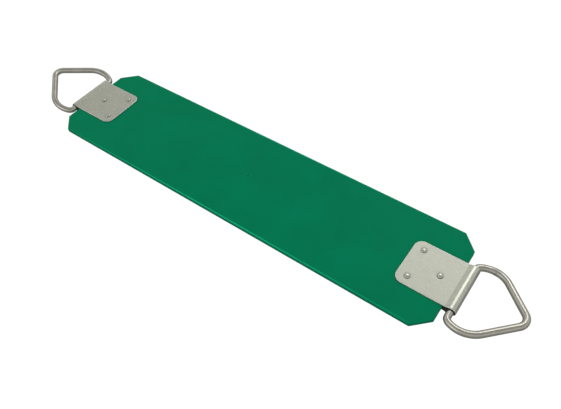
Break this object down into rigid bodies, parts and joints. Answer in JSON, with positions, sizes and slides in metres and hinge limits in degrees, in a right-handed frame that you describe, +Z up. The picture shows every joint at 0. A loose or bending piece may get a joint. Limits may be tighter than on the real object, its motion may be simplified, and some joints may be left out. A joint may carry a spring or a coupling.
{
  "type": "belt swing seat",
  "caption": "Flat flexible belt seat for a swing, with cut corners, a folded and riveted steel clamp plate and a free triangular hanging ring at each end.",
  "frame": {"origin": "centre of the belt's sitting face", "axes": "+X along the belt to its right end, +Y across the belt to its back edge, +Z up out of the sitting face"},
  "size_m": [0.8488, 0.163, 0.0295],
  "materials": {
    "belt": "satin",
    "plate": "satin",
    "ring": "satin",
    "rivet": "satin"
  },
  "bodies": {
    "belt_centre": {"belt_centre_panel": "belt"},
    "right_end": {"belt_right_panel": "belt", "clamp_plate_right": "plate", "rivet_right_inner_front": "rivet", "rivet_right_inner_back": "rivet", "rivet_right_outer": "rivet"},
    "left_end": {"belt_left_panel": "belt", "clamp_plate_left": "plate", "rivet_left_inner_front": "rivet", "rivet_left_inner_back": "rivet", "rivet_left_outer": "rivet"},
    "right_ring": {"triangle_ring_right": "ring"},
    "left_ring": {"triangle_ring_left": "ring"}
  },
  "joints": [
    {"name": "right_belt_flex", "type": "hinge", "parent": "belt_centre", "child": "right_end", "pos_m": [0.115, 0, 0], "axis": [0, -1, 0], "range_deg": [0, 50], "stiffness_Nm_per_rad": 3},
    {"name": "left_belt_flex", "type": "hinge", "parent": "belt_centre", "child": "left_end", "pos_m": [-0.115, 0, 0], "axis": [0, 1, 0], "range_deg": [0, 50], "stiffness_Nm_per_rad": 3},
    {"name": "right_ring_swing", "type": "hinge", "parent": "right_end", "child": "right_ring", "pos_m": [0.341, 0, -0.0035], "axis": [0, -1, 0], "range_deg": [-115.8, 104.2]},
    {"name": "left_ring_swing", "type": "hinge", "parent": "left_end", "child": "left_ring", "pos_m": [-0.341, 0, -0.0035], "axis": [0, 1, 0], "range_deg": [-122.7, 97.3]}
  ]
}
